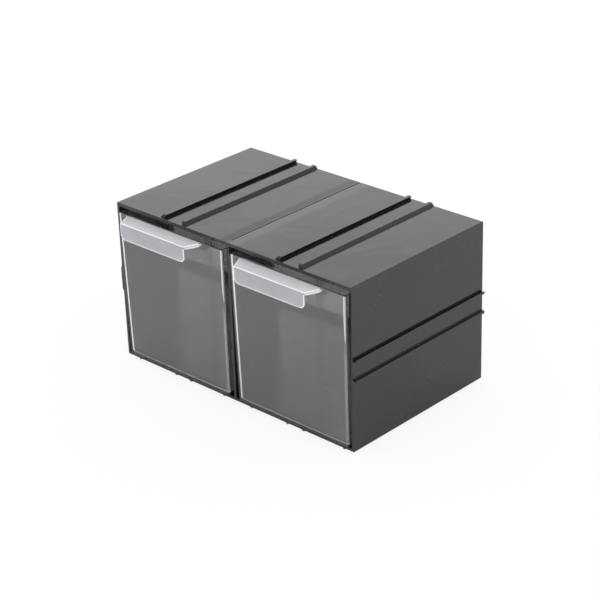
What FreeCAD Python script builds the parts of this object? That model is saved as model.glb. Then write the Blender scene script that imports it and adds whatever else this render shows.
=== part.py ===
"""Interlocking two-bay drawer block: a black housing with two clear drawers.

The housing is one moulding: two bays side by side, open at the front, with a window
in the back of each. Dovetail rails run along its outside so that blocks slide together.
Each drawer is one clear moulding with a finger ledge and a hanging lip on its front.

Axes: +X to the right, +Y to the back, +Z up. The origin is at the centre of the bottom
of the whole block, rails and drawer lips included.
"""
import FreeCAD, Part
import os
import re

import Sketcher

# name, value in millimetres (degrees for the drafts), meaning
SIZES = (
    ("bay_width", 96.5, "clear width of one bay"),
    ("bay_height", 103.8, "clear height of a bay"),
    ("housing_depth", 120.8, "front to back of the housing"),
    ("wall_thickness", 1.8, "outer and middle walls of the housing"),
    ("roof_thickness", 2.3, "top plate"),
    ("base_thickness", 1.8, "bottom plate"),
    ("back_thickness", 1.8, "rim round the back windows"),
    ("window_side_rim", 7.0, "back rim beside a window"),
    ("window_top_rim", 9.0, "back rim above a window"),
    ("window_base_rim", 6.0, "back rim below a window"),
    ("window_corner", 3.0, "corner radius of a window"),
    ("edge_radius", 0.5, "long outer edges of the housing"),
    ("rail_height", 1.9, "how far every rail stands out"),
    ("rail_setback", 1.4, "from the front face to where the rails begin"),
    ("socket_mouth", 7.1, "half width between the tips of a socket pair"),
    ("socket_undercut", 0.8, "how far a socket rail's inner face leans in"),
    ("socket_tip", 2.4, "flat tip of a socket rail"),
    ("socket_flank", 1.6, "run of a socket rail's outer slope"),
    ("socket_lead", 1.4, "bevel at the front end of a top socket rail"),
    ("rail_offset", 0.3, "from the middle of a bay to the axis of its rails, to the right"),
    ("rail_clearance", 0.3, "play between a plug pair and a socket pair"),
    ("plug_tip", 1.7, "flat tip of a plug rail"),
    ("plug_flank", 0.3, "run of a plug rail's steep inner slope"),
    ("spacer_width", 1.6, "spacer rib at its root"),
    ("spacer_tip", 1.0, "spacer rib at its tip"),
    ("spacer_outer_inset", 9.6, "outer spacer rib from the side face"),
    ("spacer_inner_inset", 12.0, "inner spacer rib from the middle of the block"),
    ("spacer_side_inset", 8.8, "side spacer rib from the top and bottom faces"),
    ("end_stop_thickness", 1.0, "stop across the front of the side socket"),
    ("end_stop_height", 1.5, "how far that stop stands out"),
    ("sink_width", 1.8, "shallow sink line over the middle wall"),
    ("sink_depth", 0.2, "depth of the sink line"),
    ("sink_setback", 4.0, "from the front face to the sink line"),
    ("running_gap", 0.3, "between the glide ribs and a drawer"),
    ("rest_gap", 2.6, "from a closed drawer to the rim round the back window"),
    ("glide_height", 0.3, "glide ribs on the floor of a bay"),
    ("glide_width", 1.6, "width of a glide rib"),
    ("glide_setback", 2.0, "from the front face to where the glide ribs begin"),
    ("glide_inset", 10.0, "from the bay's walls to the glide ribs"),
    ("nib_height", 2.3, "stop nib under the roof of a bay"),
    ("nib_width", 30.0, "width of the stop nib"),
    ("nib_thickness", 1.6, "front to back of the stop nib"),
    ("nib_setback", 26.0, "from the front face to the stop nib"),
    ("left_drawer_gap", 1.0, "from the left bay's left wall to its drawer's rim"),
    ("right_drawer_gap", 2.4, "from the right bay's left wall to its drawer's rim"),
    ("drawer_play", 2.8, "bay width less the drawer's width at its rim"),
    ("drawer_rim_gap", 2.8, "from the drawer's rim to the bay's roof"),
    ("drawer_proud", 2.6, "how far the drawer's rim stands in front of the housing"),
    ("drawer_draft", 0.8, "draft of the drawer's four sides, in degrees"),
    ("drawer_wall", 1.0, "walls and floor of a drawer"),
    ("drawer_corner", 1.6, "radius of the drawer's lower side edges"),
    ("drawer_edge", 0.4, "small rounding of the drawer front's outline"),
    ("web_width", 1.7, "sloped web inside the left front corner, along the drawer front"),
    ("web_depth", 0.8, "the same web, along the drawer's side"),
    ("inside_corner", 1.2, "radius of the other corners inside the drawer"),
    ("tab_height", 2.3, "stop tab above the drawer's back rim"),
    ("tab_width", 20.0, "width of the stop tab"),
    ("guide_height", 1.0, "how far the divider guides stand out from the walls"),
    ("guide_width", 1.2, "width of one guide rib"),
    ("guide_slot", 1.8, "slot between a pair of guide ribs"),
    ("guide_rim_gap", 3.0, "from the top of the guides to the drawer's rim"),
    ("guide_setback", 77.0, "from the drawer's rim at the front to the divider slot"),
    ("ledge_reach", 10.6, "how far the finger ledge stands out"),
    ("ledge_left_inset", 9.3, "from the drawer's left rim corner to the ledge"),
    ("ledge_right_inset", 18.0, "from the drawer's right rim corner to the ledge"),
    ("ledge_left_slant", 5.1, "how far the ledge's left side slants in"),
    ("ledge_right_slant", 4.4, "how far the ledge's right side slants in"),
    ("ledge_drop", 0.4, "ledge top below the drawer's rim"),
    ("ledge_thickness", 2.1, "thickness of the ledge"),
    ("lip_drop", 10.8, "height of the hanging lip, ledge included"),
    ("lip_thickness", 1.7, "thickness of the lip"),
    ("lip_corner", 3.6, "radius of the lip's lower corners"),
)

# edges are found by where they lie, to within this many millimetres
SNAP = 0.01

doc = FreeCAD.newDocument("drawer_block")
sheet = doc.addObject("Spreadsheet::Sheet", "Sizes")
for row, (alias, value, meaning) in enumerate(SIZES, start=1):
    sheet.set(f"A{row}", str(value))
    sheet.setAlias(f"A{row}", alias)
    sheet.set(f"B{row}", meaning)
doc.recompute()


def expr(text):
    """Put the sheet's name before every alias in a formula."""
    return re.sub(r"[a-z]+(_[a-z]+)+", r"Sizes.\g<0>", text)


# Lengths that follow from the sheet, as formulas. Inside a body, x is measured from the
# tips of the left rails, y from its own front and z from the tips of the bottom rails.
BLOCK_WIDTH = "( 2 * bay_width + 3 * wall_thickness )"
BLOCK_HEIGHT = "( base_thickness + bay_height + roof_thickness )"
LEFT = "rail_height"
RIGHT = f"( rail_height + {BLOCK_WIDTH} )"
BOTTOM = "rail_height"
TOP = f"( rail_height + {BLOCK_HEIGHT} )"
MIDDLE = f"( rail_height + {BLOCK_WIDTH} / 2 )"
MID_HEIGHT = f"( rail_height + {BLOCK_HEIGHT} / 2 )"
BAY_LEFT = (
    "( rail_height + wall_thickness )",
    "( rail_height + 2 * wall_thickness + bay_width )",
)
BAY_FLOOR = "( rail_height + base_thickness )"
SOCKET_ROOT = "( socket_mouth + socket_undercut )"
PLUG_TIP = f"( {SOCKET_ROOT} - rail_clearance )"
PLUG_ROOT = "( socket_mouth - rail_clearance )"
DRAWER_DEPTH = "( drawer_proud + housing_depth - back_thickness - rest_gap )"
DRAWER_WIDTH = "( bay_width - drawer_play )"
DRAWER_HEIGHT = "( bay_height - glide_height - running_gap - drawer_rim_gap )"
DRAWER_TAPER = f"( {DRAWER_HEIGHT} * tan( drawer_draft * 1 deg ) )"


def new_body(label, place):
    """A named body; place gives the formulas of its position."""
    body = doc.addObject("PartDesign::Body", label)
    body.Label = label
    for axis, formula in zip("xyz", place):
        body.setExpression(f"Placement.Base.{axis}", expr(formula))
    return body


def plane(body, role):
    return [item for item in body.Origin.OriginFeatures if item.Role == role][0]


def outline_sketch(body, name, role, offset, outlines):
    """A sketch of closed straight outlines whose corners are pairs of formulas."""
    sketch = body.newObject("Sketcher::SketchObject", name)
    sketch.AttachmentSupport = [(plane(body, role), "")]
    sketch.MapMode = "FlatFace"
    sketch.setExpression("AttachmentOffset.Base.z", expr(offset))
    for corners in outlines:
        points = [
            FreeCAD.Vector(*(float(sketch.evalExpression(expr(part))) for part in corner), 0)
            for corner in corners
        ]
        first = sketch.GeometryCount
        count = len(points)
        for index in range(count):
            sketch.addGeometry(Part.LineSegment(points[index], points[(index + 1) % count]), False)
        for index in range(count):
            following = first + (index + 1) % count
            sketch.addConstraint(Sketcher.Constraint("Coincident", first + index, 2, following, 1))
        for index, corner in enumerate(corners):
            for kind, axis, formula in zip(("DistanceX", "DistanceY"), (-2, -1), corner):
                line = first + index
                if formula == "0":
                    sketch.addConstraint(Sketcher.Constraint("PointOnObject", line, 1, axis))
                    continue
                value = float(sketch.evalExpression(expr(formula)))
                added = sketch.addConstraint(Sketcher.Constraint(kind, -1, 1, line, 1, value))
                sketch.renameConstraint(added, f"{kind}_{line}")
                sketch.setExpression(f"Constraints.{kind}_{line}", expr(formula))
    doc.recompute()
    return sketch


def extrude(body, name, kind, sketch, length, reverse=False):
    """A pad or pocket of a sketch; pockets run opposite to the sketch's normal."""
    feature = body.newObject(f"PartDesign::{kind}", name)
    feature.Profile = sketch
    feature.Type = "Length"
    feature.setExpression("Length", expr(length))
    feature.Reversed = reverse
    sketch.Visibility = False
    doc.recompute()
    return feature


def find_faces(feature, wanted):
    """The names of a feature's faces that the test accepts."""
    faces = enumerate(feature.Shape.Faces, start=1)
    return [f"Face{position}" for position, face in faces if wanted(face)]


def find_edges(feature, wanted):
    """The names of a feature's edges that the test accepts."""
    edges = enumerate(feature.Shape.Edges, start=1)
    picked = [f"Edge{position}" for position, edge in edges if wanted(edge)]
    if not picked:
        raise RuntimeError(f"{feature.Label}: no such edge")
    return picked


def round_edges(body, name, base, radius, wanted):
    """Round the edges of base that the test accepts, with a radius from the sheet."""
    feature = body.newObject("PartDesign::Fillet", name)
    feature.Base = (base, find_edges(base, wanted))
    feature.setExpression("Radius", expr(radius))
    doc.recompute()
    return feature


def bevel_edges(body, name, base, sizes, wanted):
    """Bevel the edges of base that the test accepts, with one size or two from the sheet."""
    feature = body.newObject("PartDesign::Chamfer", name)
    feature.Base = (base, find_edges(base, wanted))
    if len(sizes) == 2:
        feature.ChamferType = "Two distances"
        feature.setExpression("Size2", expr(sizes[1]))
    feature.setExpression("Size", expr(sizes[0]))
    doc.recompute()
    return feature


def number(formula):
    """The value of a formula, for finding edges."""
    return float(sheet.evalExpression(expr(formula)))


def runs_along(edge, axis):
    """True for a straight edge parallel to an axis."""
    if len(edge.Vertexes) != 2:
        return False
    span = edge.Vertexes[1].Point - edge.Vertexes[0].Point
    return span.Length > SNAP and abs(getattr(span, axis)) > span.Length - SNAP**2


def near(value, *targets):
    return any(abs(value - target) < SNAP for target in targets)


def rectangle(x_low, x_high, z_low, z_high):
    return ((x_low, z_low), (x_high, z_low), (x_high, z_high), (x_low, z_high))


def rail_outline(root, tip, axis, side, steps):
    """One rail's section. steps are distances from the pair's axis at root, tip, tip, root.

    side is + or -; axis says whether the rail stands on a level face or an upright one.
    """
    levels = (root, tip, tip, root)
    return [(f"( {axis} {side} {step} )", level) for step, level in zip(steps, levels)]


def swap(corners):
    """The same section on an upright face."""
    return [(level, across) for across, level in corners]


SOCKET_STEPS = (
    SOCKET_ROOT,
    "socket_mouth",
    "( socket_mouth + socket_tip )",
    "( socket_mouth + socket_tip + socket_flank )",
)
PLUG_STEPS = (
    PLUG_ROOT,
    PLUG_TIP,
    f"( {PLUG_TIP} - plug_tip )",
    f"( {PLUG_TIP} - plug_tip - plug_flank )",
)
SPACER_STEPS = (
    "( spacer_width / 2 )",
    "( spacer_tip / 2 )",
    "( -1 * spacer_tip / 2 )",
    "( -1 * spacer_width / 2 )",
)


def build_housing():
    """The black block: shell, bays with back windows, rails, glides, nibs and sink line."""
    body = new_body(
        "housing",
        (
            f"-1 * ( rail_height + {BLOCK_WIDTH} / 2 )",
            "( ledge_reach + drawer_proud - housing_depth ) / 2",
            "0",
        ),
    )
    shell = outline_sketch(body, "shell_outline", "XZ_Plane", "0", [rectangle(LEFT, RIGHT, BOTTOM, TOP)])
    block = extrude(body, "shell", "Pad", shell, "housing_depth", reverse=True)

    edges = (number(LEFT), number(RIGHT))
    levels = (number(BOTTOM), number(TOP))
    round_edges(
        body, "long_edges", block, "edge_radius",
        lambda edge: runs_along(edge, "y")
        and near(edge.CenterOfMass.x, *edges)
        and near(edge.CenterOfMass.z, *levels),
    )

    bays = [
        rectangle(left, f"( {left} + bay_width )", BAY_FLOOR, f"( {BAY_FLOOR} + bay_height )")
        for left in BAY_LEFT
    ]
    sketch = outline_sketch(body, "bay_outline", "XZ_Plane", "0", bays)
    extrude(body, "bays", "Pocket", sketch, "housing_depth - back_thickness")

    windows = [
        rectangle(
            f"( {left} + window_side_rim )",
            f"( {left} + bay_width - window_side_rim )",
            f"( {BAY_FLOOR} + window_base_rim )",
            f"( {BAY_FLOOR} + bay_height - window_top_rim )",
        )
        for left in BAY_LEFT
    ]
    sketch = outline_sketch(
        body, "window_outline", "XZ_Plane", "-1 * ( housing_depth - 2 * back_thickness )", windows
    )
    cut = extrude(body, "windows", "Pocket", sketch, "3 * back_thickness")
    sides = [number(f"{left} {edge}") for left in BAY_LEFT
             for edge in ("+ window_side_rim", "+ bay_width - window_side_rim")]
    round_edges(
        body, "window_corners", cut, "window_corner",
        lambda edge: runs_along(edge, "y") and near(edge.CenterOfMass.x, *sides),
    )

    bay_axes = [f"( {left} + bay_width / 2 )" for left in BAY_LEFT]
    rail_axes = [f"( {left} + bay_width / 2 + rail_offset )" for left in BAY_LEFT]
    rail_length = "housing_depth - rail_setback"
    tip_top = f"( {TOP} + rail_height )"
    tip_right = f"( {RIGHT} + rail_height )"
    top_rails = [rail_outline(TOP, tip_top, axis, side, SOCKET_STEPS) for axis in rail_axes for side in "+-"]
    bottom_rails = [rail_outline(BOTTOM, "0", axis, side, PLUG_STEPS) for axis in rail_axes for side in "+-"]
    spacer_axes = (
        f"( {LEFT} + spacer_outer_inset )",
        f"( {MIDDLE} - spacer_inner_inset )",
        f"( {MIDDLE} + spacer_inner_inset )",
        f"( {RIGHT} - spacer_outer_inset )",
    )
    bottom_rails += [rail_outline(BOTTOM, "0", axis, "+", SPACER_STEPS) for axis in spacer_axes]
    left_rails = [swap(rail_outline(LEFT, "0", MID_HEIGHT, side, SOCKET_STEPS)) for side in "+-"]
    side_spacers = (f"( {BOTTOM} + spacer_side_inset )", f"( {TOP} - spacer_side_inset )")
    left_rails += [swap(rail_outline(LEFT, "0", axis, "+", SPACER_STEPS)) for axis in side_spacers]
    right_rails = [swap(rail_outline(RIGHT, tip_right, MID_HEIGHT, side, PLUG_STEPS)) for side in "+-"]
    for name, outlines in (
        ("top_rails", top_rails),
        ("bottom_rails", bottom_rails),
        ("left_rails", left_rails),
        ("right_rails", right_rails),
    ):
        sketch = outline_sketch(body, f"{name}_outline", "XZ_Plane", "-1 * rail_setback", outlines)
        rails = extrude(body, name, "Pad", sketch, rail_length, reverse=True)
        if name == "top_rails":
            front = number("rail_setback")
            crest = number(tip_top)
            bevel_edges(
                body, "socket_leads", rails, ("socket_lead",),
                lambda edge: near(edge.CenterOfMass.y, front) and near(edge.CenterOfMass.z, crest),
            )

    stop = rectangle(
        "( rail_height - end_stop_height )",
        LEFT,
        f"( {MID_HEIGHT} - {SOCKET_ROOT} )",
        f"( {MID_HEIGHT} + {SOCKET_ROOT} )",
    )
    sketch = outline_sketch(
        body, "end_stop_outline", "XZ_Plane", "-1 * ( rail_setback - end_stop_thickness )", [stop]
    )
    extrude(body, "end_stop", "Pad", sketch, "2 * end_stop_thickness", reverse=True)

    glide_starts = [
        f"{left} {step}"
        for left in BAY_LEFT
        for step in ("+ glide_inset", "+ bay_width - glide_inset - glide_width")
    ]
    glide_top = f"( {BAY_FLOOR} + glide_height )"
    glides = [
        rectangle(start, f"{start} + glide_width", BAY_FLOOR, glide_top) for start in glide_starts
    ]
    sketch = outline_sketch(body, "glide_outline", "XZ_Plane", "-1 * glide_setback", glides)
    extrude(body, "glides", "Pad", sketch, "housing_depth - glide_setback - back_thickness", reverse=True)

    bay_roof = f"( {BAY_FLOOR} + bay_height )"
    nibs = [
        rectangle(
            f"( {axis} - nib_width / 2 )",
            f"( {axis} + nib_width / 2 )",
            f"( {bay_roof} - nib_height )",
            bay_roof,
        )
        for axis in bay_axes
    ]
    sketch = outline_sketch(body, "nib_outline", "XZ_Plane", "-1 * nib_setback", nibs)
    extrude(body, "nibs", "Pad", sketch, "nib_thickness", reverse=True)

    groove = (
        (f"( {MIDDLE} - sink_width / 2 )", TOP),
        (MIDDLE, f"( {TOP} - sink_depth )"),
        (f"( {MIDDLE} + sink_width / 2 )", TOP),
    )
    sketch = outline_sketch(body, "sink_outline", "XZ_Plane", "-1 * sink_setback", [groove])
    extrude(body, "sink_line", "Pocket", sketch, "housing_depth - sink_setback")
    return body


def build_drawer(label, bay_left, side_gap):
    """One clear drawer: open box with draft, stop tab, divider guides, finger ledge and lip.

    Inside the body, x is measured from the rim's left corner, y from the lip's front face
    and z from the drawer's underside.
    """
    body = new_body(
        label,
        (
            f"{bay_left} + {side_gap} - rail_height - {BLOCK_WIDTH} / 2",
            "-1 * ( ledge_reach + drawer_proud + housing_depth ) / 2",
            f"{BAY_FLOOR} + glide_height + running_gap",
        ),
    )
    foot = rectangle(
        DRAWER_TAPER,
        f"( {DRAWER_WIDTH} - {DRAWER_TAPER} )",
        f"( ledge_reach + {DRAWER_TAPER} )",
        f"( ledge_reach + {DRAWER_DEPTH} - {DRAWER_TAPER} )",
    )
    sketch = outline_sketch(body, "foot_outline", "XY_Plane", "0", [foot])
    block = extrude(body, "block", "Pad", sketch, DRAWER_HEIGHT)
    sides = find_faces(block, lambda face: abs(face.normalAt(0, 0).z) < SNAP)
    drafted = body.newObject("PartDesign::Draft", "draft")
    drafted.Base = (block, sides)
    drafted.NeutralPlane = (plane(body, "XY_Plane"), [""])
    drafted.setExpression("Angle", expr("drawer_draft"))
    drafted.Reversed = True
    doc.recompute()
    hollow = body.newObject("PartDesign::Thickness", "hollow")
    hollow.Base = (drafted, find_faces(drafted, lambda face: face.normalAt(0, 0).z > 1 - SNAP))
    hollow.setExpression("Value", expr("drawer_wall"))
    hollow.Reversed = True
    hollow.Join = "Intersection"
    doc.recompute()

    solid = round_edges(
        body, "lower_edges", hollow, "drawer_corner",
        lambda edge: runs_along(edge, "y") and near(edge.CenterOfMass.z, 0),
    )
    wall = number("drawer_wall")
    rim_level = number(DRAWER_HEIGHT)
    far_wall = number(f"{DRAWER_WIDTH} - drawer_wall")
    middle = number(f"ledge_reach + {DRAWER_DEPTH} / 2")
    web = bevel_edges(
        body, "front_web", solid, ("web_width", "web_depth"),
        lambda edge: wall + SNAP < edge.CenterOfMass.x < far_wall / 2
        and wall + SNAP < edge.CenterOfMass.z < rim_level - SNAP
        and edge.CenterOfMass.y < middle,
    )
    solid = round_edges(
        body, "inside_corners", web, "inside_corner",
        lambda edge: wall + SNAP < edge.CenterOfMass.x < far_wall - SNAP
        and wall - SNAP < edge.CenterOfMass.z < rim_level - SNAP
        and (
            edge.CenterOfMass.y > middle
            or edge.CenterOfMass.x > far_wall / 2
            or near(edge.CenterOfMass.z, wall)
        ),
    )
    front = max(
        (face for face in solid.Shape.Faces if face.normalAt(0, 0).y < SNAP - 1),
        key=lambda face: face.Area,
    )
    round_edges(
        body, "front_edges", solid, "drawer_edge",
        lambda edge: any(edge.isSame(other) for other in front.Edges),
    )

    guides = []
    for wall_side in (
        ("( ( {0} + drawer_wall ) / 2 )", "( {0} + drawer_wall + guide_height )"),
        ("( {1} - {0} - drawer_wall - guide_height )", "( {1} - ( {0} + drawer_wall ) / 2 )"),
    ):
        low, high = (edge.format(DRAWER_TAPER, DRAWER_WIDTH) for edge in wall_side)
        for start in (
            "( ledge_reach + guide_setback - guide_slot / 2 - guide_width )",
            "( ledge_reach + guide_setback + guide_slot / 2 )",
        ):
            guides.append(rectangle(low, high, start, f"( {start} + guide_width )"))
    sketch = outline_sketch(body, "guide_outline", "XY_Plane", "drawer_wall", guides)
    extrude(body, "divider_guides", "Pad", sketch, f"{DRAWER_HEIGHT} - drawer_wall - guide_rim_gap")

    tab = rectangle(
        f"( {DRAWER_WIDTH} / 2 - tab_width / 2 )",
        f"( {DRAWER_WIDTH} / 2 + tab_width / 2 )",
        f"( ledge_reach + {DRAWER_DEPTH} - drawer_wall )",
        f"( ledge_reach + {DRAWER_DEPTH} )",
    )
    sketch = outline_sketch(body, "tab_outline", "XY_Plane", DRAWER_HEIGHT, [tab])
    extrude(body, "stop_tab", "Pad", sketch, "tab_height")

    ledge_right = f"( {DRAWER_WIDTH} - ledge_right_inset )"
    lip_left = "( ledge_left_inset + ledge_left_slant )"
    lip_right = f"( {ledge_right} - ledge_right_slant )"
    ledge_root = "( ledge_reach + drawer_wall / 2 )"
    ledge = (
        (lip_left, "0"),
        (lip_right, "0"),
        (ledge_right, "ledge_reach"),
        (ledge_right, ledge_root),
        ("ledge_left_inset", ledge_root),
        ("ledge_left_inset", "ledge_reach"),
    )
    ledge_top = f"( {DRAWER_HEIGHT} - ledge_drop )"
    sketch = outline_sketch(body, "ledge_outline", "XY_Plane", f"{ledge_top} - ledge_thickness", [ledge])
    extrude(body, "ledge", "Pad", sketch, "ledge_thickness")
    lip_foot = f"( {ledge_top} - lip_drop )"
    lip = rectangle(lip_left, lip_right, lip_foot, f"( {ledge_top} - ledge_thickness / 2 )")
    sketch = outline_sketch(body, "lip_outline", "XZ_Plane", "0", [lip])
    solid = extrude(body, "lip", "Pad", sketch, "lip_thickness", reverse=True)
    foot_level = number(lip_foot)
    round_edges(
        body, "lip_corners", solid, "lip_corner",
        lambda edge: runs_along(edge, "y") and near(edge.CenterOfMass.z, foot_level),
    )
    return body


bodies = [build_housing()]
for label, bay_left, side_gap in zip(
    ("left_drawer", "right_drawer"), BAY_LEFT, ("left_drawer_gap", "right_drawer_gap")
):
    bodies.append(build_drawer(label, bay_left, side_gap))
doc.recompute()

for item in doc.Objects:
    if "Invalid" in item.State or "Error" in item.State:
        raise RuntimeError(f"{item.Label} did not compute: {item.State}")
for body in bodies:
    if body.Shape.isNull() or not body.Shape.isValid() or len(body.Shape.Solids) != 1:
        raise RuntimeError(f"{body.Label} is not one valid solid")

os.makedirs("parts", exist_ok=True)
for body in bodies:
    shape = body.Shape.copy()
    box = shape.BoundBox
    shape.exportStep(f"parts/{body.Label}.step")
    print(f"{body.Label}: volume {shape.Volume:.0f} mm3, "
          f"x {box.XMin:.2f}..{box.XMax:.2f}, y {box.YMin:.2f}..{box.YMax:.2f}, "
          f"z {box.ZMin:.2f}..{box.ZMax:.2f}")
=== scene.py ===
"""Two-drawer organizer block: plastics, frosted handles, floor, light and camera."""

import math

import bpy
import numpy as np
from mathutils import Matrix, Vector


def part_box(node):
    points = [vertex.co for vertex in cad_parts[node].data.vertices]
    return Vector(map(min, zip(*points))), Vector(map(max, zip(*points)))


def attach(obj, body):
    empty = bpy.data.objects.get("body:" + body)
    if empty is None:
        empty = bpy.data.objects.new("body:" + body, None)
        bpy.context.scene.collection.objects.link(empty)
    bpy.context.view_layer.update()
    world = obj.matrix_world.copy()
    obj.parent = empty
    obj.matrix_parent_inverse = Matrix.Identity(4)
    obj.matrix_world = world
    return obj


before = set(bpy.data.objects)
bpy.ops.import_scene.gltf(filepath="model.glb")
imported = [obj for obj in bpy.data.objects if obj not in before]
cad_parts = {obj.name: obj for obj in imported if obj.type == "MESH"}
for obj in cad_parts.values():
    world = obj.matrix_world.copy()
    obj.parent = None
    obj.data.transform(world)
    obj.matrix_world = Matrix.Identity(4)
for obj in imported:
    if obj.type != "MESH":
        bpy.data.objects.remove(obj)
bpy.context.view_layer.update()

MM = 0.001

# sizes of the block that the CAD boxes don't give by themselves
RAIL_HEIGHT = 1.9 * MM
TAB_HEIGHT = 2.3 * MM
DRAFT = math.radians(0.8)

# a handle's ledge: an inset is where a side starts on the drawer, a slant is how far it leans in,
# and the drop is how far the top lies under the drawer's rim
LEDGE_REACH = 10.6 * MM
LEDGE_LEFT_INSET = 9.3 * MM
LEDGE_RIGHT_INSET = 18.0 * MM
LEDGE_LEFT_SLANT = 5.1 * MM
LEDGE_RIGHT_SLANT = 4.4 * MM
LEDGE_DROP = 0.4 * MM
LEDGE_THICKNESS = 2.1 * MM

# the lip that hangs from the ledge, measured down from the ledge's top
LIP_DROP = 10.8 * MM
LIP_THICKNESS = 1.7 * MM
LIP_CORNER = 3.6 * MM

# the frosted skins lie this far from the clear plastic's face and stop this far from its edges
SKIN_GAP = 0.03 * MM
SKIN_MARGIN = 0.35 * MM

# columns and rows of the skins on the ledge's level faces, its side and the lip
LEDGE_GRID = (40, 8)
SIDE_GRID = (10, 4)
LIP_GRID = (80, 10)

# the beads just inside a handle's edges, whose painted glow stands in for light run along inside the
# plastic, and the steps along each part of them
BEAD_RADIUS = 0.24 * MM
BEAD_INSET = 0.25 * MM
BEAD_SIDES = 10
LEFT_SIDE_STEPS = 8
RIGHT_SIDE_STEPS = 9
ACROSS_STEPS = 40
LIP_SIDE_STEPS = 6
CORNER_STEPS = 12

# the shallow hollow that the middle wall draws in the roof as it cools
SINK_REACH = 9.0 * MM
SINK_DEPTH = 0.22 * MM

# how far the melt's waviness rises and falls in each plastic, and how deep a scratch is
BLACK_FLOW_DEPTH = 0.25 * MM
CLEAR_FLOW_DEPTH = 0.12 * MM
SCRATCH_DEPTH = 0.003 * MM

POLYSTYRENE_IOR = 1.59

# wear: each pair is where a pattern starts to show and where it shows fully
SPECK_SIZE = (0.13, 0.06)
SPECK_CHOICE = (0.72, 0.95)
DUST_PATCH = (0.42, 0.62)
SCRATCH = (0.62, 0.72)
SCRATCH_CLUSTER = (0.5, 0.68)
CLUSTER_SCALE = 34.0
SCRATCH_TURN = (0.5, 0.4, 0.9)
SCRATCH_SQUEEZE = (1.0, 24.0, 24.0)

# the floor: its own white and glow, and the even white that it is mixed with where it is seen
FLOOR_SIZE = 6.0
FLOOR_WHITE = 0.9
FLOOR_ROUGHNESS = 0.8
FLOOR_GLOW = 0.12
FLOOR_SEEN_GLOW = 1.04
FLOOR_SEEN_SHARE = 0.8

# the studio: its walls' light, its ceiling's, and the heights on a unit ball between which one
# turns into the other
WALL_LIGHT = 1.5
CEILING_LIGHT = 0.7
WALL_TOP = 0.36
CEILING_EDGE = 0.56

# the view, measured from the block's foot; lens and sensor are in millimetres
HEADING = math.radians(44.0)
HEIGHT_ANGLE = math.radians(25.97)
TILT = math.radians(-1.97)
DISTANCE = 1198.3 * MM
AIM_RIGHT = -1.1 * MM
AIM_UP = 42.1 * MM
LENS = 111.34
SENSOR_WIDTH = 36.0

WHITE = (1, 1, 1, 1)


def set_values(node, values):
    """Sets a node's own input values by name or place."""
    for name, value in values.items():
        node.inputs[name].default_value = value


def add_node(tree, kind, values=None, **settings):
    """A shader node with its properties and its own input values set."""
    node = tree.nodes.new(f"ShaderNode{kind}")
    for name, value in settings.items():
        setattr(node, name, value)
    set_values(node, values or {})
    return node


def pick(sockets, identifier):
    """The socket with this identifier, on a node where several share one name."""
    return next(socket for socket in sockets if socket.identifier == identifier)


def place_on_piece(tree):
    """Where a point lies on its own piece."""
    return add_node(tree, "TexCoord").outputs["Object"]


def threshold(tree, source, start, full):
    """0 where source hasn't come to start, 1 where it is past full, soft in between."""
    ramp = add_node(tree, "MapRange", {"From Min": start, "From Max": full}, interpolation_type="SMOOTHSTEP")
    tree.links.new(source, ramp.inputs["Value"])
    return ramp.outputs["Result"]


def multiply(tree, first, second):
    """first times second, so that a mask is left only where both are."""
    node = add_node(tree, "Math", operation="MULTIPLY")
    tree.links.new(first, node.inputs[0])
    tree.links.new(second, node.inputs[1])
    return node.outputs["Value"]


def weighted_sum(tree, base, *terms):
    """base plus each term's output times its weight."""
    total = None
    for source, weight in terms:
        node = add_node(tree, "Math", {1: weight, 2: base}, operation="MULTIPLY_ADD")
        tree.links.new(source, node.inputs[0])
        if total is not None:
            tree.links.new(total, node.inputs[2])
        total = node.outputs["Value"]
    return total


def tint(tree, shader, mask, plain, worn):
    """Base Color that goes from plain to worn where the mask is 1."""
    mix = add_node(tree, "Mix", data_type="RGBA")
    pick(mix.inputs, "A_Color").default_value = plain
    pick(mix.inputs, "B_Color").default_value = worn
    tree.links.new(mask, pick(mix.inputs, "Factor_Float"))
    tree.links.new(pick(mix.outputs, "Result_Color"), shader.inputs["Base Color"])


def add_bump(tree, shader, *terms):
    """Bump whose height in metres is the sum of each term's output times its depth."""
    bump = add_node(tree, "Bump", {"Strength": 1.0, "Distance": 1.0})
    tree.links.new(weighted_sum(tree, 0.0, *terms), bump.inputs["Height"])
    tree.links.new(bump.outputs["Normal"], shader.inputs["Normal"])


def new_material(name, finish):
    """A material, its tree and its shader, with the values that are the same all over it set."""
    material = bpy.data.materials.new(name)
    material.use_nodes = True
    shader = material.node_tree.nodes["Principled BSDF"]
    set_values(shader, finish)
    return material, material.node_tree, shader


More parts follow.
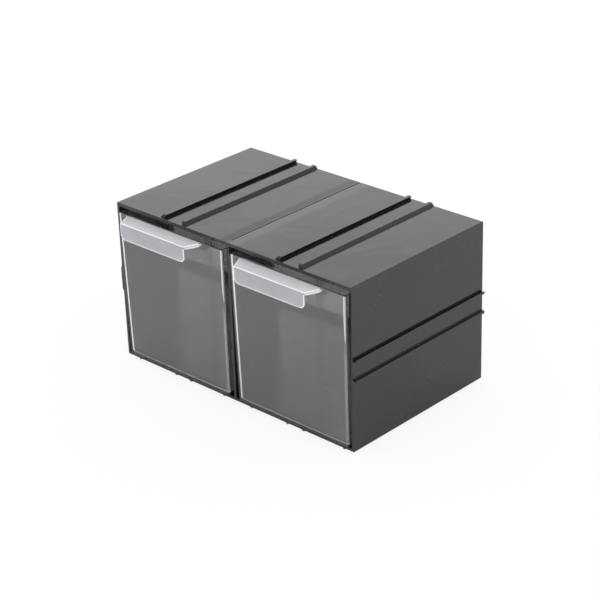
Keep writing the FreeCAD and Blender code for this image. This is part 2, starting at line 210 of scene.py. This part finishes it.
def moulded_wear():
    """Node group: what a moulded, handled surface shows, as masks that change over it.

    Flow is the broad waviness that the melt leaves, Dust is small round specks that gather in
    patches, and Scuff is thin straight scratches that come in clusters.
    """
    group = bpy.data.node_groups.new("moulded_wear", "ShaderNodeTree")
    sockets = group.interface
    sockets.new_socket("Position", in_out="INPUT", socket_type="NodeSocketVector")
    for name in ("Flow Scale", "Speck Scale", "Scuff Scale"):
        sockets.new_socket(name, in_out="INPUT", socket_type="NodeSocketFloat")
    for name in ("Flow", "Dust", "Scuff"):
        sockets.new_socket(name, in_out="OUTPUT", socket_type="NodeSocketFloat")
    inputs = group.nodes.new("NodeGroupInput").outputs
    outputs = group.nodes.new("NodeGroupOutput").inputs
    link = group.links.new

    flow = add_node(group, "TexNoise", {"Detail": 3.0, "Roughness": 0.45, "Distortion": 0.6})
    link(inputs["Position"], flow.inputs["Vector"])
    link(inputs["Flow Scale"], flow.inputs["Scale"])
    link(flow.outputs["Fac"], outputs["Flow"])

    cells = add_node(group, "TexVoronoi", feature="F1")
    link(inputs["Position"], cells.inputs["Vector"])
    link(inputs["Speck Scale"], cells.inputs["Scale"])
    chance = add_node(group, "SeparateColor")
    link(cells.outputs["Color"], chance.inputs["Color"])
    specks = threshold(group, cells.outputs["Distance"], *SPECK_SIZE)
    specks = multiply(group, specks, threshold(group, chance.outputs["Red"], *SPECK_CHOICE))
    patches = threshold(group, flow.outputs["Fac"], *DUST_PATCH)
    link(multiply(group, specks, patches), outputs["Dust"])

    squeeze = add_node(group, "Mapping", {"Rotation": SCRATCH_TURN, "Scale": SCRATCH_SQUEEZE})
    link(inputs["Position"], squeeze.inputs["Vector"])
    streaks = add_node(group, "TexNoise", {"Detail": 2.0, "Roughness": 0.6})
    link(squeeze.outputs["Vector"], streaks.inputs["Vector"])
    link(inputs["Scuff Scale"], streaks.inputs["Scale"])
    clusters = add_node(group, "TexNoise", {"Detail": 1.0, "Scale": CLUSTER_SCALE})
    link(inputs["Position"], clusters.inputs["Vector"])
    scratches = threshold(group, streaks.outputs["Fac"], *SCRATCH)
    clusters = threshold(group, clusters.outputs["Fac"], *SCRATCH_CLUSTER)
    link(multiply(group, scratches, clusters), outputs["Scuff"])
    return group


def place_wear(tree, group, flow, speck, scuff):
    """The wear group in a material, with the material's own scales."""
    wear = tree.nodes.new("ShaderNodeGroup")
    wear.node_tree = group
    set_values(wear, {"Flow Scale": flow, "Speck Scale": speck, "Scuff Scale": scuff})
    tree.links.new(place_on_piece(tree), wear.inputs["Position"])
    return wear.outputs


def sink_mark(tree):
    """Height of the roof beside the middle wall: 0 over the wall, 1 where the hollow ends."""
    parts = add_node(tree, "SeparateXYZ")
    tree.links.new(place_on_piece(tree), parts.inputs["Vector"])
    across = add_node(tree, "Math", operation="ABSOLUTE")
    tree.links.new(parts.outputs["X"], across.inputs[0])
    return threshold(tree, across.outputs["Value"], 0.0, SINK_REACH)


def black_plastic(group):
    """Glossy black polystyrene: broad flow marks, a little dust and light scuffs."""
    material, tree, shader = new_material("black_plastic", {"IOR": POLYSTYRENE_IOR})
    wear = place_wear(tree, group, flow=26.0, speck=330.0, scuff=30.0)
    marks = weighted_sum(tree, 0.0, (wear["Dust"], 0.8), (wear["Scuff"], 0.35))
    tint(tree, shader, marks, plain=(0.011, 0.011, 0.012, 1), worn=(0.16, 0.16, 0.17, 1))
    roughness = weighted_sum(tree, 0.06, (wear["Flow"], 0.16), (wear["Scuff"], 0.18), (wear["Dust"], 0.3))
    tree.links.new(roughness, shader.inputs["Roughness"])
    add_bump(
        tree,
        shader,
        (wear["Flow"], BLACK_FLOW_DEPTH),
        (wear["Scuff"], -SCRATCH_DEPTH),
        (sink_mark(tree), SINK_DEPTH),
    )
    return material


def clear_plastic(group):
    """Clear polystyrene: polished, a faint haze, hairline scratches and specks of dust."""
    material, tree, shader = new_material("clear_plastic", {
        "Base Color": (0.98, 0.975, 0.995, 1),
        "IOR": POLYSTYRENE_IOR,
        "Transmission Weight": 0.975,
    })
    wear = place_wear(tree, group, flow=18.0, speck=260.0, scuff=22.0)
    roughness = weighted_sum(tree, 0.015, (wear["Scuff"], 0.03), (wear["Dust"], 0.35))
    tree.links.new(roughness, shader.inputs["Roughness"])
    add_bump(tree, shader, (wear["Flow"], CLEAR_FLOW_DEPTH))
    return material


def frosted_plastic(group):
    """The finely textured skin of a finger ledge and its lip, which lets some light through."""
    material, tree, shader = new_material("frosted_plastic", {"Roughness": 0.7, "IOR": POLYSTYRENE_IOR})
    wear = place_wear(tree, group, flow=60.0, speck=300.0, scuff=30.0)
    tint(tree, shader, wear["Flow"], plain=(0.86, 0.87, 0.9, 1), worn=(0.96, 0.97, 1, 1))
    tree.links.new(weighted_sum(tree, 0.6, (wear["Flow"], 0.2)), shader.inputs["Alpha"])
    return material


def painted_glow_edge():
    """Painted glow for a handle's polished edges: a steady emission that stands in for the light that runs
    inside the plastic.
    """
    material, _, _ = new_material("painted_glow_edge", {
        "Base Color": (0.95, 0.96, 1, 1),
        "Roughness": 0.5,
        # painted glow: this emission lights the beads as a painted highlight, whatever light reaches them
        "Emission Color": WHITE,
        "Emission Strength": 0.45,
    })
    return material


def give(node, material):
    """Makes a CAD node of this material alone."""
    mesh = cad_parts[node].data
    mesh.materials.clear()
    mesh.materials.append(material)


def sheet_faces(points):
    """The faces of an open sheet: each joins four neighbours in a grid of points.

    A face looks along the step to the next column crossed with the step to the next row.
    """
    index = np.arange(points.shape[0] * points.shape[1]).reshape(points.shape[:2])
    faces = np.stack((index[:-1, :-1], index[:-1, 1:], index[1:, 1:], index[1:, :-1]), axis=-1)
    return faces.reshape(-1, 4).tolist()


def tube_faces(rings):
    """The faces of a closed tube: each ring's last point joins its first, and both ends are shut."""
    index = np.arange(rings.shape[0] * rings.shape[1]).reshape(rings.shape[:2])
    beside = np.roll(index, -1, axis=1)
    walls = np.stack((index[:-1], beside[:-1], beside[1:], index[1:]), axis=-1)
    ends = [index[0, ::-1].tolist(), index[-1].tolist()]
    return walls.reshape(-1, 4).tolist() + ends


def new_object(name, points, faces, material):
    """An object at the origin with its place in its mesh."""
    mesh = bpy.data.meshes.new(name)
    mesh.from_pydata(points.reshape(-1, 3).tolist(), [], faces)
    mesh.materials.append(material)
    result = bpy.data.objects.new(name, mesh)
    bpy.context.scene.collection.objects.link(result)
    return result


class Handle:
    """The levels and edges of one drawer's ledge and lip, worked out from the drawer's box."""

    def __init__(self, drawer):
        low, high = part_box(drawer)
        self.rim = high.z - TAB_HEIGHT
        self.top = self.rim - LEDGE_DROP
        self.under = self.top - LEDGE_THICKNESS
        self.lip_foot = self.top - LIP_DROP
        self.front = low.y
        self.lip_back = low.y + LIP_THICKNESS
        self.face = low.y + LEDGE_REACH
        self.root_left = low.x + LEDGE_LEFT_INSET
        self.root_right = high.x - LEDGE_RIGHT_INSET
        self.lip_left = self.root_left + LEDGE_LEFT_SLANT
        self.lip_right = self.root_right - LEDGE_RIGHT_SLANT


def surface_grid(columns, rows):
    """u across and v along a surface, both from 0 to 1."""
    return np.meshgrid(np.linspace(0, 1, columns + 1), np.linspace(0, 1, rows + 1))


def level_skin(handle, front, height, facing):
    """A skin over the ledge's top (facing 1) or under it (facing -1).

    y = front + (leaned - front) v, where leaned is how far the drafted face has leaned at this
    height. out = (face - y) / reach goes from 0 at the drawer to 1 at the lip. Each side is its
    root plus its slant times out, and x = left + (right - left) u. z is level.
    """
    u, v = surface_grid(*LEDGE_GRID)
    leaned = handle.face + (handle.rim - height) * math.tan(DRAFT) - SKIN_GAP
    y = front + (leaned - front) * v
    out = (handle.face - y).clip(0) / LEDGE_REACH
    left = handle.root_left + SKIN_MARGIN + LEDGE_LEFT_SLANT * out
    right = handle.root_right - SKIN_MARGIN - LEDGE_RIGHT_SLANT * out
    x = left + (right - left) * u
    z = np.full_like(u, height + facing * SKIN_GAP)
    return np.stack((x, y, z), axis=-1)[:, ::facing]


def side_skin(handle):
    """A skin on the ledge's slanted right side.

    y = front + margin + (reach - margin) u, x = root - slant (face - y) / reach + gap, and z
    rises with v from one margin above the underside to one margin below the top.
    """
    u, v = surface_grid(*SIDE_GRID)
    y = handle.front + SKIN_MARGIN + (LEDGE_REACH - SKIN_MARGIN) * u
    x = handle.root_right - LEDGE_RIGHT_SLANT * (handle.face - y) / LEDGE_REACH + SKIN_GAP
    z = handle.under + SKIN_MARGIN + (LEDGE_THICKNESS - 2 * SKIN_MARGIN) * v
    return np.stack((x, y, z), axis=-1)


def upright_skin(handle, depth, height, facing):
    """A skin on the lip's front (facing -1) or back (facing 1), up to this height.

    x = left + (right - left) u, and y is the same all over. Within one corner radius c of a side,
    i from it, the foot rises by c - sqrt(c^2 - (c - i)^2). z = foot + (height - foot) v.
    """
    u, v = surface_grid(*LIP_GRID)
    left = handle.lip_left + SKIN_MARGIN
    right = handle.lip_right - SKIN_MARGIN
    x = left + (right - left) * u
    inward = np.minimum(x - left, right - x).clip(0, LIP_CORNER)
    rise = LIP_CORNER - np.sqrt(LIP_CORNER**2 - (LIP_CORNER - inward) ** 2)
    foot = handle.lip_foot + SKIN_MARGIN + rise
    y = np.full_like(u, depth)
    z = foot + (height - foot) * v
    return np.stack((x, y, z), axis=-1)[:, ::-facing]


def straight_run(start, end, steps):
    """Points start + (end - start) i / steps, where i stops one short of steps."""
    share = np.arange(steps)[:, None] / steps
    return np.add(start, share * np.subtract(end, start))


def quarter_turn(centre, radius, start, steps):
    """Points centre + radius (cos a, 0, sin a), where a = start + (i / steps) 90 degrees."""
    angle = start + np.arange(steps) / steps * math.pi / 2
    spokes = np.stack((np.cos(angle), np.zeros(steps), np.sin(angle)), axis=1)
    return np.add(centre, radius * spokes)


def bead(path, level):
    """Rings round a path that lies in the plane whose normal is level.

    A point is path + radius (cos a side + sin a level), where side is square to the path and to
    level, and a goes once round in equal steps.
    """
    along = np.gradient(path, axis=0)
    along /= np.linalg.norm(along, axis=1)[:, None]
    side = np.cross(level, along)[:, None]
    angle = np.arange(BEAD_SIDES)[:, None] / BEAD_SIDES * 2 * math.pi
    return path[:, None] + BEAD_RADIUS * (np.cos(angle) * side + np.sin(angle) * np.array(level))


def handle_beads(handle):
    """The beads along the ledge's upper edge, its right side's lower edge and the lip's edge.

    A run leaves out its own end, which the next one starts with. The last run of a path has no
    next one, so the beads on the right side stop one step short of the drawer.
    """
    line = handle.top - BEAD_INSET
    seam = handle.under + BEAD_INSET
    front = handle.front + BEAD_INSET
    root_left = handle.root_left + BEAD_INSET
    root_right = handle.root_right - BEAD_INSET
    lip_left = (handle.lip_left + BEAD_INSET, front, line)
    lip_right = (handle.lip_right - BEAD_INSET, front, line)
    ledge_edge = np.concatenate((
        straight_run((root_left, handle.face, line), lip_left, LEFT_SIDE_STEPS),
        straight_run(lip_left, lip_right, ACROSS_STEPS),
        straight_run(lip_right, (root_right, handle.face, line), RIGHT_SIDE_STEPS),
    ))
    side_start = (lip_right[0], handle.lip_back, seam)
    side_edge = straight_run(side_start, (root_right, handle.face, seam), RIGHT_SIDE_STEPS)

    turn = LIP_CORNER - BEAD_INSET
    across = np.array((turn, 0, 0))
    down = np.array((0, 0, -turn))
    corner_height = handle.lip_foot + LIP_CORNER
    corner_left = np.array((handle.lip_left + LIP_CORNER, front, corner_height))
    corner_right = np.array((handle.lip_right - LIP_CORNER, front, corner_height))
    lip_edge = np.concatenate((
        straight_run(lip_left, corner_left - across, LIP_SIDE_STEPS),
        quarter_turn(corner_left, turn, math.pi, CORNER_STEPS),
        straight_run(corner_left + down, corner_right + down, ACROSS_STEPS),
        quarter_turn(corner_right, turn, 1.5 * math.pi, CORNER_STEPS),
        straight_run(corner_right + across, lip_right, LIP_SIDE_STEPS),
    ))
    return {
        "ledge_edge": bead(ledge_edge, (0, 0, 1)),
        "ledge_side_edge": bead(side_edge, (0, 0, 1)),
        "lip_edge": bead(lip_edge, (0, -1, 0)),
    }


def handle_skins(handle):
    """The five frosted skins; the lip's front one lies just inside the plastic."""
    lip_back = handle.lip_back + SKIN_GAP
    return {
        "ledge_top_skin": level_skin(handle, handle.front + SKIN_MARGIN, handle.top, 1),
        "ledge_under_skin": level_skin(handle, lip_back, handle.under, -1),
        "ledge_side_skin": side_skin(handle),
        "lip_front_skin": upright_skin(handle, handle.front + SKIN_GAP, handle.top - SKIN_MARGIN, -1),
        "lip_back_skin": upright_skin(handle, lip_back, handle.under - SKIN_GAP, 1),
    }


def add_piece(name, points, faces, material, drawer):
    """A piece of a handle, which rides on its drawer."""
    piece = new_object(f"{drawer}_{name}", points, faces, material)
    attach(piece, drawer)


def dress_handle(drawer, skin, edge):
    """The frosted skins and the edges with a painted glow of one drawer's handle."""
    handle = Handle(drawer)
    for name, points in handle_skins(handle).items():
        add_piece(name, points, sheet_faces(points), skin, drawer)
    for name, rings in handle_beads(handle).items():
        add_piece(name, rings, tube_faces(rings), edge, drawer)


def white_floor():
    """A plain pale floor. Seen straight on it is lit evenly, so only a soft shadow stays."""
    material, tree, shader = new_material("floor", {
        "Base Color": (FLOOR_WHITE, FLOOR_WHITE, FLOOR_WHITE, 1),
        "Roughness": FLOOR_ROUGHNESS,
        "Emission Color": WHITE,
        "Emission Strength": FLOOR_GLOW,
    })
    glow = add_node(tree, "Emission", {"Color": WHITE, "Strength": FLOOR_SEEN_GLOW})
    share = add_node(tree, "Math", {1: FLOOR_SEEN_SHARE}, operation="MULTIPLY")
    seen = add_node(tree, "LightPath")
    mix = add_node(tree, "MixShader")
    tree.links.new(seen.outputs["Is Camera Ray"], share.inputs[0])
    tree.links.new(share.outputs["Value"], mix.inputs["Fac"])
    tree.links.new(shader.outputs["BSDF"], mix.inputs[1])
    tree.links.new(glow.outputs["Emission"], mix.inputs[2])
    tree.links.new(mix.outputs["Shader"], tree.nodes["Material Output"].inputs["Surface"])
    u, v = surface_grid(1, 1)
    points = np.stack((u - 0.5, v - 0.5, np.zeros_like(u)), axis=-1) * FLOOR_SIZE
    new_object("floor", points, sheet_faces(points), material)


def soft_studio():
    """White walls all round that dim softly towards the ceiling."""
    world = bpy.data.worlds.new("studio")
    bpy.context.scene.world = world
    world.use_nodes = True
    tree = world.node_tree
    direction = add_node(tree, "TexCoord")
    parts = add_node(tree, "SeparateXYZ")
    dim = add_node(
        tree,
        "MapRange",
        {"From Min": WALL_TOP, "From Max": CEILING_EDGE, "To Min": WALL_LIGHT, "To Max": CEILING_LIGHT},
        interpolation_type="SMOOTHSTEP",
    )
    tree.links.new(direction.outputs["Generated"], parts.inputs["Vector"])
    tree.links.new(parts.outputs["Z"], dim.inputs["Value"])
    tree.links.new(dim.outputs["Result"], tree.nodes["Background"].inputs["Strength"])
    tree.nodes["Background"].inputs["Color"].default_value = WHITE


def aim_camera():
    """A camera that looks past the block's foot.

    From looking straight down it is raised to the height angle, turned by the heading and
    tilted about its own line of sight. Its place is foot + axes (right, up, distance).
    """
    low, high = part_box("housing")
    foot = Vector((0, (low.y + high.y) / 2, RAIL_HEIGHT))
    raised = Matrix.Rotation(math.pi / 2 - HEIGHT_ANGLE, 4, "X")
    turned = Matrix.Rotation(HEADING, 4, "Z")
    tilted = Matrix.Rotation(TILT, 4, "Z")
    axes = turned @ raised @ tilted
    data = bpy.data.cameras.new("camera")
    data.lens = LENS
    data.sensor_width = SENSOR_WIDTH
    camera = bpy.data.objects.new("camera", data)
    offset = Matrix.Translation((AIM_RIGHT, AIM_UP, DISTANCE))
    camera.matrix_world = Matrix.Translation(foot) @ axes @ offset
    bpy.context.scene.collection.objects.link(camera)
    bpy.context.scene.camera = camera


wear_group = moulded_wear()
clear = clear_plastic(wear_group)
frosted = frosted_plastic(wear_group)
# the handles' edge beads get a painted glow that stands in for light piped inside the clear plastic
edge = painted_glow_edge()
give("housing", black_plastic(wear_group))
for drawer in ("left_drawer", "right_drawer"):
    give(drawer, clear)
    dress_handle(drawer, frosted, edge)

white_floor()
soft_studio()
aim_camera()
bpy.context.scene.view_settings.view_transform = "Standard"
